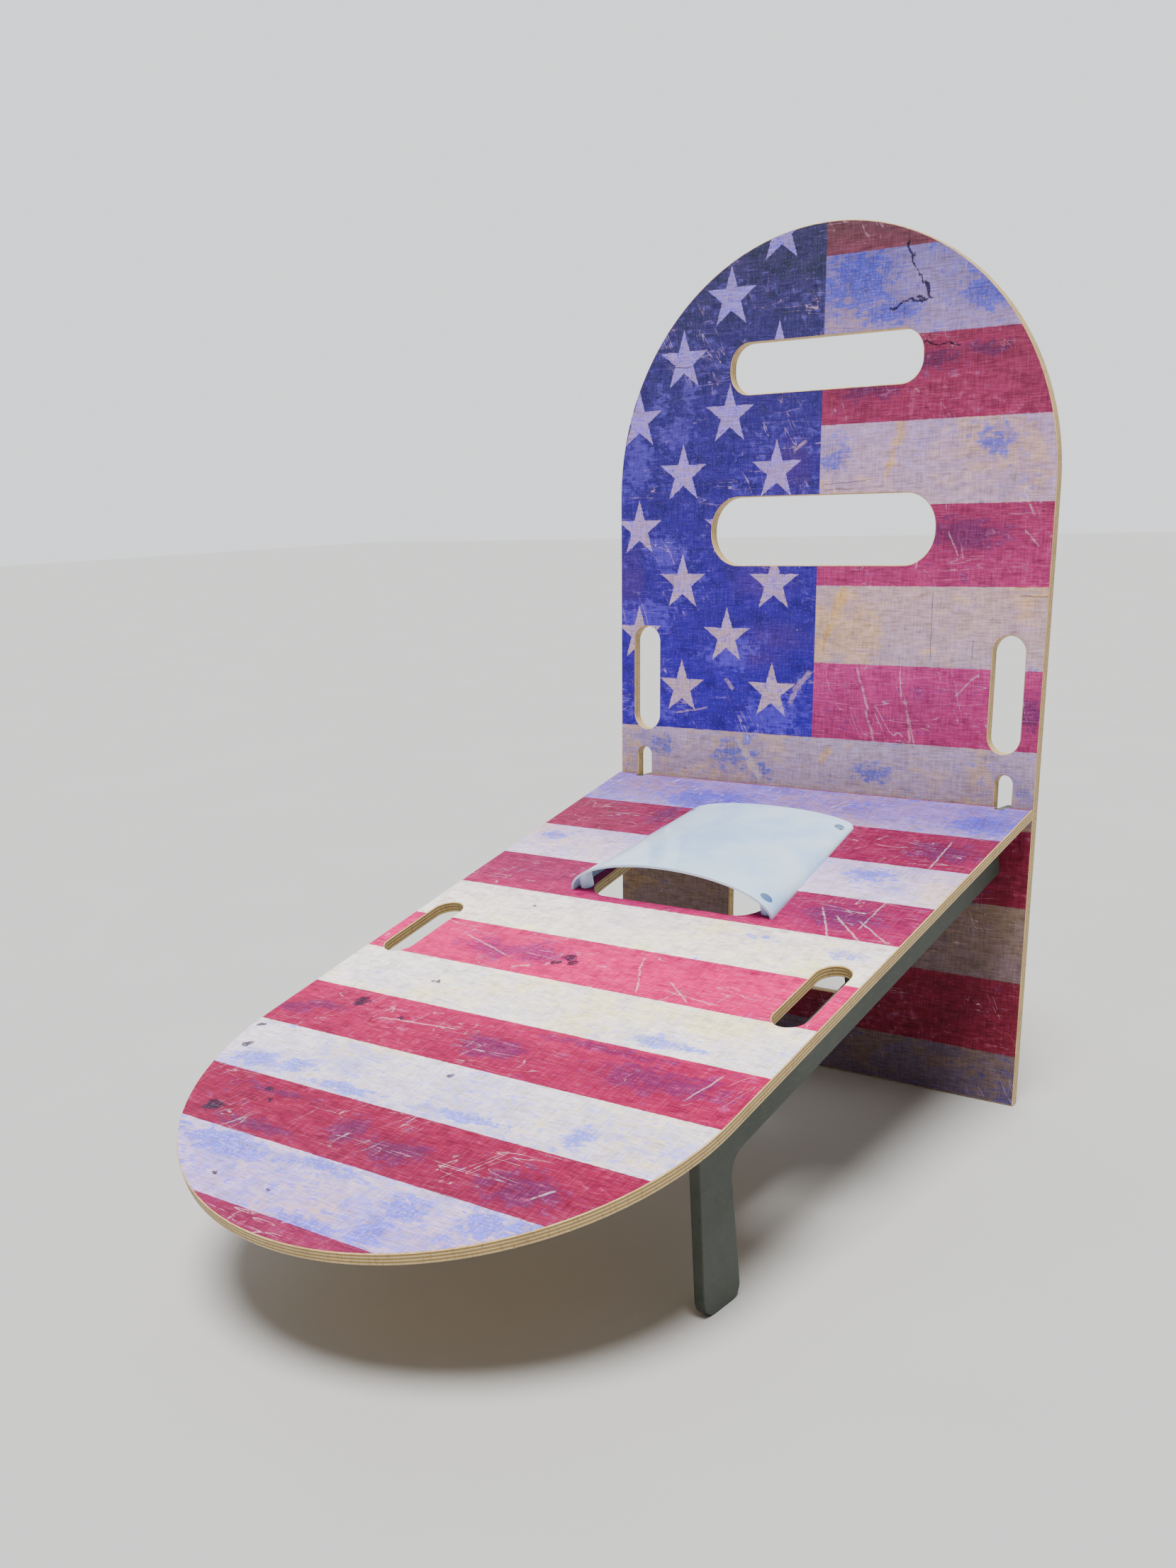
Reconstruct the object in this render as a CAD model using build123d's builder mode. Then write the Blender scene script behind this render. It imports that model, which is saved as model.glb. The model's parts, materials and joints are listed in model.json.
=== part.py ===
from build123d import *
import os
from math import cos, radians, sin, sqrt, tan

# Cornhole board with an upright back board. Millimetres, +Z up.
# +X is the thrower's right, -Y is the thrower's side, Z = 0 is the ground.
# The origin is the middle of the footprint of the bounding box.

# ---------------------------------------------------------------- driving dimensions
width = 610.0            # both panels, 24 in
panel_t = 12.7           # half-inch plywood
edge_r = 1.2             # eased plywood edges
skin_t = 0.3             # printed vinyl skin
lean = 2.5               # the back board leans back from upright, degrees
slope = 13.5             # the playing board falls towards the front, degrees

back_height = 1053.0     # along the back board
junction_h = 379.5       # where the playing board's top plane meets the back board's front
play_length = 1009.0     # along the playing board, from the junction to the tip

upper_slot = (264.0, 60.0, 27.0, 897.0)    # length, height, corner radius, centre height
lower_slot = (316.0, 84.0, 40.0, 702.0)
window = (244.0, 210.0, 30.0, 213.0)
back_grip = (41.0, 139.0, 261.0, 510.5)    # width, length, centre x, centre height
hook_slot = (22.0, 86.0, 265.0, 373.0)
play_grip = (40.0, 126.0, 266.0, 480.0)    # width, length, centre x, centre along the board
hole = (236.0, 208.0, 30.0, 244.0)         # width, length, corner radius, centre along the board

frame_t = 12.0           # painted plywood of the leg frames and hook plates
frame_x = 260.0          # their inner faces
stringer_depth = 74.0    # stringer's lower edge, below the playing surface
stringer_end = 33.0      # its rear end, along the board
leg_top_front = 711.0    # where the leg's front edge meets the board
leg_inner = 668.0        # inner corner of the L, along the board
foot_front = 664.0       # foot on the ground, ahead of the back board's face
foot_rear = 599.0
frame_rear_r = 4.0       # corners of the leg frame, from its rear end round by the foot
foot_front_r = 20.0
foot_rear_r = 14.0
leg_inner_r = 25.0
relief = (150.0, 14.0)   # hand relief in the stringer under the grip: length, depth

board_gap = 0.9          # back board's plywood to the playing board's rear edge
hook_lip = 24.0          # how far the hook hangs down behind the slot's sill
hook_reach = 20.0        # thickness of the hook behind the back board
hook_top_h = 376.0       # top of the hook, along the back board
rest_gap = 0.3           # under a piece that rests on another and can move off it
hook_front = 30.0        # front edge of the hook plate, along the board
hook_depth = 52.0        # its lower edge, below the playing surface
hook_corner_r = 5.0      # outer corners of the hook
hook_edge_r = 0.6
notch_end = 12.0         # front of the notches in the playing board's rear edge
fit = 0.4                # clearance between pieces that come apart

hood_front = (141.0, 47.0, 345.0)          # half width, height, place along the board
hood_rear = (117.0, 18.0, 96.0)
hood_t = 3.0
hood_corner_r = 26.0     # rear corners, seen from above
hood_roll_r = 7.0        # the rear edge rolls down
hood_posts = [(127.5, 330.0), (108.0, 121.0)]   # screw pockets: x, along the board
post_r = 8.5
pocket_r = 6.2
pocket_floor = 3.0

hinge_length = 64.0
hinge_places = [150.0, 620.0]              # centres, along the board
leaf_t = 1.6
leaf_w = 30.0            # from the pin's centre
leaf_corner_r = 4.0
knuckle_r = 3.0
knuckle_c = 3.2          # pin centre, from the board's underside and from the frame
knuckles = 5
pin_r = 1.5
pin_clear = 0.05
knuckle_gap = 0.3

angle_t = 2.0            # steel angles that hold the hook plates
angle_w = 14.0           # along the board
angle_flange = 28.0      # under the board
angle_drop = 34.0        # down the hook plate
angle_centre = 22.0      # along the board
angle_bend_r = 1.5

# ---------------------------------------------------------------- derived places
lean_r = radians(lean)
slope_r = radians(slope)
between = radians(lean + slope)            # playing board against the back board's normal
radius = width / 2
spring_h = back_height - radius            # where the semicircular top starts
tip_centre = play_length - radius          # centre of the playing board's round front
base_z = edge_r * (1 - cos(lean_r)) + (panel_t - edge_r) * sin(lean_r)

# The farthest points of the two boards' eased edges set the middle of the footprint.
rear_most = ((back_height - edge_r) * sin(lean_r) + (panel_t - edge_r) * cos(lean_r) + edge_r)
front_most = (junction_h * sin(lean_r) - (play_length - edge_r) * cos(slope_r)
              + edge_r * sin(slope_r) - edge_r)
base_y = -(rear_most + front_most) / 2

play_rear = (board_gap + panel_t * sin(between)) / cos(between)
hook_x = frame_x + frame_t / 2
slot_end_r = hook_slot[0] / 2
hook_corner = hook_x - hook_slot[2] + frame_t / 2      # off the slot's centre line
sill_h = hook_slot[3] - hook_slot[1] / 2 + slot_end_r - sqrt(slot_end_r ** 2 - hook_corner ** 2)
frame_top = panel_t + rest_gap
pin_x = frame_x - knuckle_c
pin_depth = panel_t + knuckle_c

back_plane = Plane(
    origin=(0, base_y, base_z), x_dir=(1, 0, 0), z_dir=(0, -cos(lean_r), sin(lean_r)))
junction = back_plane.from_local_coords((0, junction_h, 0))
# On play_plane, x is across, y points up the slope (so places along the board are -y),
# and z is out of the playing surface.
play_plane = Plane(origin=junction, x_dir=(1, 0, 0), z_dir=(0, -sin(slope_r), cos(slope_r)))


def back_yz(out, height):
    """(y, z) of a point that stands `out` of the back board's front face."""
    point = back_plane.from_local_coords((0, height, out))
    return (point.Y, point.Z)


def play_yz(along, depth):
    """(y, z) of a point `depth` below the playing surface."""
    point = play_plane.from_local_coords((0, -along, -depth))
    return (point.Y, point.Z)


def across(along):
    """Plane square to the playing board: x across, y out of the surface, z to the front."""
    origin = play_plane.from_local_coords((0, -along, 0))
    return Plane(origin=origin, x_dir=(1, 0, 0), z_dir=(0, -cos(slope_r), -sin(slope_r)))


def save(piece, name):
    piece.part.label = name
    export_step(piece.part, f"parts/{name}.step")


def save_pair(piece, name):
    """Write the right-hand piece and its mirror image on the left."""
    save(piece, f"right_{name}")
    with BuildPart() as twin:
        mirror(piece.part, about=Plane.YZ)
    save(twin, f"left_{name}")


def back_outline(inset=0.0):
    with Locations((0, spring_h / 2 + inset / 2)):
        Rectangle(width - 2 * inset, spring_h - inset)
    with Locations((0, spring_h)):
        Circle(radius - inset)
    for length, height, corner, centre in (upper_slot, lower_slot, window):
        with Locations((0, centre)):
            RectangleRounded(
                length + 2 * inset, height + 2 * inset, corner + inset, mode=Mode.SUBTRACT)
    for slot_w, slot_l, centre_x, centre in (back_grip, hook_slot):
        with Locations((centre_x, centre), (-centre_x, centre)):
            SlotOverall(slot_l + 2 * inset, slot_w + 2 * inset, rotation=90, mode=Mode.SUBTRACT)


def play_outline(inset=0.0):
    straight = tip_centre - play_rear - inset
    with Locations((0, -(tip_centre + play_rear + inset) / 2)):
        Rectangle(width - 2 * inset, straight)
    with Locations((0, -tip_centre)):
        Circle(radius - inset)
    with Locations((0, -hole[3])):
        RectangleRounded(
            hole[0] + 2 * inset, hole[1] + 2 * inset, hole[2] + inset, mode=Mode.SUBTRACT)
    grip_w, grip_l, grip_x, grip_c = play_grip
    with Locations((grip_x, -grip_c), (-grip_x, -grip_c)):
        SlotOverall(grip_l + 2 * inset, grip_w + 2 * inset, rotation=90, mode=Mode.SUBTRACT)
    with Locations((hook_x, -play_rear), (-hook_x, -play_rear)):
        Rectangle(frame_t + 2 * fit, 2 * (notch_end - play_rear + inset), mode=Mode.SUBTRACT)


def face_rims(board, plane):
    """The edges round both faces of a board whose front face lies on plane."""
    def off_middle(edge):
        return abs(plane.to_local_coords(edge.center()).Z + panel_t / 2)
    return board.edges().filter_by(lambda edge: off_middle(edge) > panel_t / 2 - 0.01)


def screw(head_r, head_h, shank_r, length, countersunk):
    """A screw along -Z; Z = 0 is a pan head's seat or a countersunk head's top."""
    point = [(shank_r, -length + 2 * shank_r), (0, -length)]
    if countersunk:
        profile = [(0, 0), (head_r, 0), (shank_r, -head_h)] + point
    else:
        profile = [(0, head_h), (head_r * 0.6, head_h), (head_r, head_h * 0.4),
                   (head_r, 0), (shank_r, 0)] + point
    with BuildPart() as body:
        with BuildSketch(Plane.XZ):
            with BuildLine():
                Polyline(*profile, close=True)
            make_face()
        revolve(axis=Axis.Z)
        with BuildSketch(Plane.XY.offset(profile[0][1])):
            Rectangle(head_r * 1.1, head_r * 0.24)
            Rectangle(head_r * 0.24, head_r * 1.1)
        extrude(amount=-head_h * 0.55, mode=Mode.SUBTRACT)
    return body.part


def pair_places(places):
    return places + [(-x, y) for x, y in places]


os.makedirs("parts", exist_ok=True)

# ---------------------------------------------------------------- screw places
# Hood screws stand on the playing surface, at (x, -along).
hood_spots = pair_places([(x, -along) for x, along in hood_posts])
hood_shank_r = 1.6
hood_screw_l = 12.5

# Countersunk hinge screws: three in each leaf, (along the hinge, out from the pin).
leaf_shank_r = 1.5
leaf_head_r = leaf_shank_r + leaf_t
leaf_screw_l = 10.0
leaf_steps = [(-22.0, 20.0), (0.0, 12.0), (22.0, 20.0)]
leaf_spots = [(place + step, out) for place in hinge_places for step, out in leaf_steps]
board_leaf_spots = [(pin_x - out, -along) for along, out in leaf_spots]

# Pan-head screws and bolts of the steel angles.
angle_spots = [(frame_x - 10.0, -angle_centre), (frame_x - 22.0, -angle_centre)]
bolt_depths = [panel_t + 12.0, panel_t + 26.0]
bolt_r = 2.5
underside = play_plane.offset(-panel_t)
# On frame_side, x points up the slope and y out of the playing surface.
frame_side = Plane(origin=(frame_x, junction.Y, junction.Z), x_dir=play_plane.y_dir,
                   z_dir=(1, 0, 0))

# ---------------------------------------------------------------- the two boards
with BuildPart() as back_board:
    with BuildSketch(back_plane):
        back_outline()
    extrude(amount=-panel_t)
    fillet(face_rims(back_board, back_plane), edge_r)
save(back_board, "back_board")

with BuildPart() as back_skin:
    with BuildSketch(back_plane):
        back_outline(edge_r)
    extrude(amount=skin_t)
save(back_skin, "back_board_print")

with BuildPart() as play_board:
    with BuildSketch(play_plane):
        play_outline()
    extrude(amount=-panel_t)
    fillet(face_rims(play_board, play_plane), edge_r)
    with BuildSketch(play_plane):
        with Locations(*hood_spots):
            Circle(hood_shank_r)
    extrude(amount=-(hood_screw_l - pocket_floor), mode=Mode.SUBTRACT)
    with BuildSketch(underside):
        with Locations(*pair_places(board_leaf_spots + angle_spots)):
            Circle(leaf_shank_r)
    extrude(amount=leaf_screw_l, mode=Mode.SUBTRACT)
save(play_board, "playing_board")

with BuildPart() as play_skin:
    with BuildSketch(play_plane):
        play_outline(edge_r)
        with Locations(*hood_spots):
            Circle(hood_shank_r, mode=Mode.SUBTRACT)
    extrude(amount=skin_t)
save(play_skin, "playing_board_print")

# ---------------------------------------------------------------- hood


def hood_section(half_width, height, along):
    with BuildSketch(across(along)) as section:
        with Locations((0, skin_t)):
            Ellipse(half_width, height)
            Rectangle(2 * half_width, 2 * height, align=(Align.CENTER, Align.MAX),
                      mode=Mode.SUBTRACT)
    return section.sketch


def hood_size(along):
    """Half width and height of the hood's outer surface at a place along the board."""
    share = (along - hood_rear[2]) / (hood_front[2] - hood_rear[2])
    half_width = hood_rear[0] + share * (hood_front[0] - hood_rear[0])
    height = hood_rear[1] + share * (hood_front[1] - hood_rear[1])
    return (half_width, height, along)


def hood_plan(front, inset):
    """The hood seen from above, from a place along the board to its rounded rear corners."""
    front_w, _, front_y = hood_size(front)
    rear_w, _, rear_y = hood_size(hood_rear[2] + inset)
    with BuildSketch(play_plane) as plan:
        with BuildLine():
            Polyline((inset - front_w, -front_y), (inset - rear_w, -rear_y),
                     (rear_w - inset, -rear_y), (front_w - inset, -front_y), close=True)
        make_face()
        fillet(plan.vertices().sort_by(Axis.Y)[-2:], hood_corner_r - inset)
    return plan.sketch


hood_open = hood_front[2] + 10.0           # the core runs out through the mouth
with BuildPart() as hood_block:
    loft([hood_section(*hood_front), hood_section(*hood_rear)])
    rear_arc = hood_block.faces().sort_by(Axis.Y)[-1].edges().sort_by(Edge.length)[-1]
    fillet(rear_arc, hood_roll_r)
    extrude(hood_plan(hood_front[2], 0.0), amount=2 * hood_front[1], mode=Mode.INTERSECT)

with BuildPart() as hood_core:
    core_ends = [hood_size(hood_open), hood_size(hood_rear[2] + hood_t)]
    loft([hood_section(x - hood_t, y - hood_t, along) for x, y, along in core_ends])
    extrude(hood_plan(hood_open, hood_t), amount=2 * hood_front[1], mode=Mode.INTERSECT)

hood_base = play_plane.offset(skin_t)
with BuildPart() as hood_cups:
    with BuildSketch(hood_base):
        with Locations(*hood_spots):
            Circle(post_r)
    extrude(amount=hood_front[1])
    add(hood_block.part, mode=Mode.INTERSECT)

with BuildPart() as hood:
    add(hood_block.part)
    add(hood_core.part, mode=Mode.SUBTRACT)
    add(hood_cups.part)
    with BuildSketch(hood_base.offset(pocket_floor)):
        with Locations(*hood_spots):
            Circle(pocket_r)
    extrude(amount=hood_front[1], mode=Mode.SUBTRACT)
    with BuildSketch(hood_base):
        with Locations(*hood_spots):
            Circle(hood_shank_r)
    extrude(amount=pocket_floor, mode=Mode.SUBTRACT)
save(hood, "hood")

hood_screw = screw(4.0, 2.6, hood_shank_r, hood_screw_l, countersunk=False)
with BuildPart() as hood_screws:
    for x, y in hood_spots:
        add(hood_base.offset(pocket_floor).location * Pos(x, y, 0) * hood_screw)
save(hood_screws, "hood_screws")

# ---------------------------------------------------------------- leg frames
with BuildPart() as leg_frame:
    with BuildSketch(Plane.YZ.offset(frame_x)) as outline:
        with BuildLine():
            Polyline(play_yz(stringer_end, frame_top), play_yz(leg_top_front, frame_top),
                     (base_y - foot_front, 0), (base_y - foot_rear, 0),
                     play_yz(leg_inner, stringer_depth), play_yz(stringer_end, stringer_depth),
                     close=True)
        make_face()
        # In the sketch, x is the object's y and y is its z.
        fillet(outline.vertices().sort_by(Axis.X)[-2:], frame_rear_r)
        fillet(outline.vertices().sort_by(Axis.Y)[:2].sort_by(Axis.X)[0], foot_front_r)
        flat_foot = outline.vertices().filter_by(lambda corner: abs(corner.Y) < 0.01)
        fillet(flat_foot.sort_by(Axis.X)[-1], foot_rear_r)
        inner = outline.vertices().sort_by_distance((*play_yz(leg_inner, stringer_depth), 0))[0]
        fillet(inner, leg_inner_r)
    extrude(amount=frame_t)
    with BuildSketch(Plane.YZ.offset(frame_x)):
        with Locations(play_yz(play_grip[3], panel_t)):
            Rectangle(relief[0], 2 * relief[1], rotation=slope)
    extrude(amount=frame_t, mode=Mode.SUBTRACT)
    faces = leg_frame.faces().filter_by(Axis.X)
    fillet(faces.edges(), edge_r)
    with BuildSketch(frame_side):
        with Locations(*[(-along, -pin_depth - out) for along, out in leaf_spots]):
            Circle(leaf_shank_r)
    extrude(amount=leaf_screw_l, mode=Mode.SUBTRACT)
save_pair(leg_frame, "leg_frame")

# ---------------------------------------------------------------- hook plates
rear_out = -(panel_t + fit)                # inner face of the hook behind the back board
with BuildPart() as hook_plate:
    with BuildSketch(Plane.YZ.offset(frame_x)) as outline:
        with BuildLine():
            Polyline(play_yz(hook_front, panel_t), play_yz(notch_end - fit, panel_t),
                     play_yz(notch_end - fit, 0), back_yz(fit, hook_top_h),
                     back_yz(rear_out - hook_reach, hook_top_h),
                     back_yz(rear_out - hook_reach, sill_h - hook_lip),
                     back_yz(rear_out, sill_h - hook_lip), back_yz(rear_out, sill_h + rest_gap),
                     back_yz(fit, sill_h + rest_gap),
                     play_yz(hook_depth * tan(between) + fit / cos(between), hook_depth),
                     play_yz(hook_front, hook_depth), close=True)
        make_face()
        fillet(outline.vertices().sort_by(Axis.X)[-2:], hook_corner_r)
    extrude(amount=frame_t)
    faces = hook_plate.faces().filter_by(Axis.X)
    fillet(faces.edges(), hook_edge_r)
    with BuildSketch(frame_side):
        with Locations(*[(-angle_centre, -depth) for depth in bolt_depths]):
            Circle(bolt_r)
    extrude(amount=frame_t, mode=Mode.SUBTRACT)
save_pair(hook_plate, "hook_plate")

with BuildPart() as hook_angle:
    with BuildSketch(across(angle_centre - angle_w / 2)) as outline:
        with BuildLine():
            Polyline((frame_x, -panel_t), (frame_x - angle_flange, -panel_t),
                     (frame_x - angle_flange, -panel_t - angle_t),
                     (frame_x - angle_t, -panel_t - angle_t),
                     (frame_x - angle_t, -panel_t - angle_drop),
                     (frame_x, -panel_t - angle_drop), close=True)
        make_face()
        bend = (frame_x - angle_t, -panel_t - angle_t, 0)
        fillet(outline.vertices().sort_by_distance(bend)[0], angle_bend_r)
    extrude(amount=angle_w)
    with BuildSketch(underside.offset(-angle_t)):
        with Locations(*angle_spots):
            Circle(leaf_shank_r)
    extrude(amount=angle_t, mode=Mode.SUBTRACT)
    with BuildSketch(frame_side.offset(-angle_t)):
        with Locations(*[(-angle_centre, -depth) for depth in bolt_depths]):
            Circle(bolt_r)
    extrude(amount=angle_t, mode=Mode.SUBTRACT)
save_pair(hook_angle, "hook_angle")

angle_screw = screw(3.2, 2.0, leaf_shank_r, leaf_screw_l + angle_t, countersunk=False)
with BuildPart() as hook_angle_screws:
    for x, y in pair_places(angle_spots):
        add(underside.offset(-angle_t).location * Pos(x, y, 0) * Rot(180, 0, 0) * angle_screw)
save(hook_angle_screws, "hook_angle_screws")

# The bolts' domed heads are outside and their nuts inside, on the angles.
head_r = 5.2
head_h = 2.6
nut_r = 4.6
nut_h = 4.0
bolt_end = frame_x - angle_t - nut_h - 2.0
with BuildPart() as bolts:
    with BuildSketch(frame_side.offset(bolt_end - frame_x)):
        with Locations(*[(-angle_centre, -depth) for depth in bolt_depths]):
            Circle(bolt_r)
    extrude(amount=frame_x + frame_t - bolt_end)
    with BuildSketch(frame_side.offset(frame_t)):
        with Locations(*[(-angle_centre, -depth) for depth in bolt_depths]):
            Circle(head_r)
    extrude(amount=head_h)
    domes = bolts.edges().group_by(Axis.X)[-1]
    fillet(domes, head_h * 0.9)
    mirror(bolts.part, about=Plane.YZ)
save(bolts, "hook_bolts")

with BuildPart() as nuts:
    with BuildSketch(frame_side.offset(-angle_t)):
        with Locations(*[(-angle_centre, -depth) for depth in bolt_depths]):
            RegularPolygon(nut_r, 6)
            Circle(bolt_r, mode=Mode.SUBTRACT)
    extrude(amount=-nut_h)
    mirror(nuts.part, about=Plane.YZ)
save(nuts, "hook_nuts")

# ---------------------------------------------------------------- hinges
# A leaf lies on its own XY plane with the pin along Y at X = 0, Z = knuckle_c. The board's
# leaf and the frame's leaf have the same shape, apart from which knuckles they carry.
knuckle_l = hinge_length / knuckles
leaf_start = knuckle_r + 0.4               # the flat leaf starts this far from the pin


def leaf(first_knuckle, bore_r):
    with BuildPart() as plate:
        with BuildSketch() as flat:
            with Locations((leaf_start, 0)):
                Rectangle(leaf_w - leaf_start, hinge_length, align=(Align.MIN, Align.CENTER))
            fillet(flat.vertices().sort_by(Axis.X)[-2:], leaf_corner_r)
        extrude(amount=leaf_t)
        for number in range(first_knuckle, knuckles, 2):
            near_end = hinge_length / 2 - number * knuckle_l - knuckle_gap / 2
            with BuildSketch(Plane.XZ.offset(-near_end)):
                Rectangle(leaf_start, leaf_t, align=Align.MIN)
                with Locations((0, knuckle_c)):
                    Circle(knuckle_r)
            extrude(amount=knuckle_l - knuckle_gap)
        with BuildSketch(Plane.XZ):
            with Locations((0, knuckle_c)):
                Circle(bore_r)
        extrude(amount=hinge_length / 2, both=True, mode=Mode.SUBTRACT)
        with Locations(*[(out, step, leaf_t) for step, out in leaf_steps]):
            CounterSinkHole(leaf_shank_r, leaf_head_r, depth=leaf_t, counter_sink_angle=90)
    return plate.part


def board_side(place):
    return Plane(origin=play_plane.from_local_coords((pin_x, -place, -panel_t)),
                 x_dir=(-1, 0, 0), z_dir=-play_plane.z_dir)


def leg_side(place):
    return Plane(origin=play_plane.from_local_coords((frame_x, -place, -pin_depth)),
                 x_dir=-play_plane.z_dir, z_dir=(-1, 0, 0))


leaf_screw = screw(leaf_head_r, leaf_t, leaf_shank_r, leaf_screw_l + leaf_t, countersunk=True)

for end, place in zip(("rear", "front"), hinge_places):
    with BuildPart() as board_leaf:
        with Locations(board_side(place)):
            add(leaf(0, pin_r))
    save_pair(board_leaf, f"{end}_board_leaf")
    with BuildPart() as frame_leaf:
        with Locations(leg_side(place)):
            add(leaf(1, pin_r + pin_clear))
    save_pair(frame_leaf, f"{end}_frame_leaf")
    with BuildPart() as pin:
        with BuildSketch(across(place - hinge_length / 2)):
            with Locations((pin_x, -pin_depth)):
                Circle(pin_r)
        extrude(amount=hinge_length)
    save_pair(pin, f"{end}_hinge_pin")

with BuildPart() as board_leaf_screws:
    for x, y in pair_places(board_leaf_spots):
        add(underside.offset(-leaf_t).location * Pos(x, y, 0) * Rot(180, 0, 0) * leaf_screw)
save(board_leaf_screws, "board_leaf_screws")

with BuildPart() as frame_leaf_screws:
    for along, out in leaf_spots:
        add(frame_side.offset(-leaf_t).location * Pos(-along, -pin_depth - out, 0)
            * Rot(180, 0, 0) * leaf_screw)
save_pair(frame_leaf_screws, "frame_leaf_screws")
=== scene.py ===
import bpy
import json
from math import cos, hypot, pi, radians, sin
from mathutils import Matrix, Vector

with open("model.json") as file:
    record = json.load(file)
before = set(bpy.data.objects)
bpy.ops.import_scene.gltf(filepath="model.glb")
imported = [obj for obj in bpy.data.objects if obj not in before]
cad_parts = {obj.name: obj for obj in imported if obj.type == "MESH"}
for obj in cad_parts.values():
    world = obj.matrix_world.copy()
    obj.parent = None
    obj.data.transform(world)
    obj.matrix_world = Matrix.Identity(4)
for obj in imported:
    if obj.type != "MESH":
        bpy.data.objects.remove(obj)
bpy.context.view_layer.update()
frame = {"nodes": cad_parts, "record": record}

# ---------------------------------------------------------------- places, in metres
MM = 0.001
LEAN = radians(2.5)              # the back board leans back from upright
SLOPE = radians(13.5)            # the playing board falls to the front
BOARD_T = 12.7 * MM              # thickness of both boards
JUNCTION_H = 379.5 * MM          # where the playing surface meets the back board

joints = {joint["name"]: joint for joint in frame["record"]["behaviour"]["joints"]}
JUNCTION = Vector(joints["board_lift"]["pos_m"])
BACK_UP = Vector((0, sin(LEAN), cos(LEAN)))
BACK_OUT = Vector((0, -cos(LEAN), sin(LEAN)))
BACK_FOOT = JUNCTION - BACK_UP * JUNCTION_H
PLAY_FRONT = Vector((0, -cos(SLOPE), -sin(SLOPE)))
PLAY_OUT = Vector((0, -sin(SLOPE), cos(SLOPE)))

# Printed flag, along the back board from its foot and along the playing board from its rear.
BACK_STRIPE_TOP = 1.0149         # lower edge of the first red stripe
BACK_STRIPE = 0.09497
CANTON_STRIPES = 6               # the canton ends under this many stripes
PLAY_STRIPE_TOP = 0.0961
PLAY_STRIPE = 0.08878
STAR_R = 0.0375
STAR_STEP = 0.0705               # between columns of stars
STAR_RISE = 0.1374               # between stars of one column
STAR_LEFT = -0.274               # the leftmost whole column
STAR_LOW = (0.569, 0.500)        # lowest stars of the even and odd columns
STAR_COLUMNS_RIGHT = -0.0255     # no star right of this
STAR_ROWS_LOW = 0.4693           # nor below this
STAR_WAIST = 0.382               # inner corners against points, in a star of straight edges
REAR_SLIVER = 0.0073             # red border at the playing board's rear edge
LONGEST = 1.06                   # places along both boards are shown on ramps of this length

# How soft or ragged the printed edges are.
EDGE = 0.0005
STAR_RAG = 0.0016
STRIPE_RAG = 0.02                # in stripes
STRIPE_EDGE = 0.0035             # in pairs of stripes
CANTON_EDGE = 0.006              # in stripes
CANTON_SIDE_EDGE = 0.0008
STAR_CUT_EDGE = 0.0003
MARK_SHAKE = 0.022               # the range in which noise shifts patches and cracks
SCRATCH_SHAKE = 0.006            # and scratches


# ---------------------------------------------------------------- shader arithmetic
def rgb(code):
    """Linear colour of an sRGB hex code; a number gives that much of all three."""
    if isinstance(code, float):
        return (code, code, code, 1)
    parts = [int(code[i:i + 2], 16) / 255 for i in (1, 3, 5)]
    return tuple(p / 12.92 if p <= 0.04045 else ((p + 0.055) / 1.055) ** 2.4 for p in parts) + (1,)


def filtered(code, strengths):
    """Hex colour with its red, green and blue each multiplied."""
    parts = [int(code[i:i + 2], 16) * strength for i, strength in zip((1, 3, 5), strengths)]
    return "#" + "".join("%02x" % min(255, round(part)) for part in parts)


def blended(code, other, share):
    """Hex colour part of the way to another."""
    pairs = [(int(code[i:i + 2], 16), int(other[i:i + 2], 16)) for i in (1, 3, 5)]
    return "#" + "".join("%02x" % round(a + (b - a) * share) for a, b in pairs)


class Num:
    """A number that a shader works out; + - * / make Math nodes."""

    def __init__(self, graph, socket):
        self.graph = graph
        self.socket = socket

    def __add__(self, other):
        return self.graph.math("ADD", self, other)

    def __sub__(self, other):
        return self.graph.math("SUBTRACT", self, other)

    def __rsub__(self, other):
        return self.graph.math("SUBTRACT", other, self)

    def __mul__(self, other):
        return self.graph.math("MULTIPLY", self, other)

    def __truediv__(self, other):
        return self.graph.math("DIVIDE", self, other)

    __radd__ = __add__
    __rmul__ = __mul__


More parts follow.
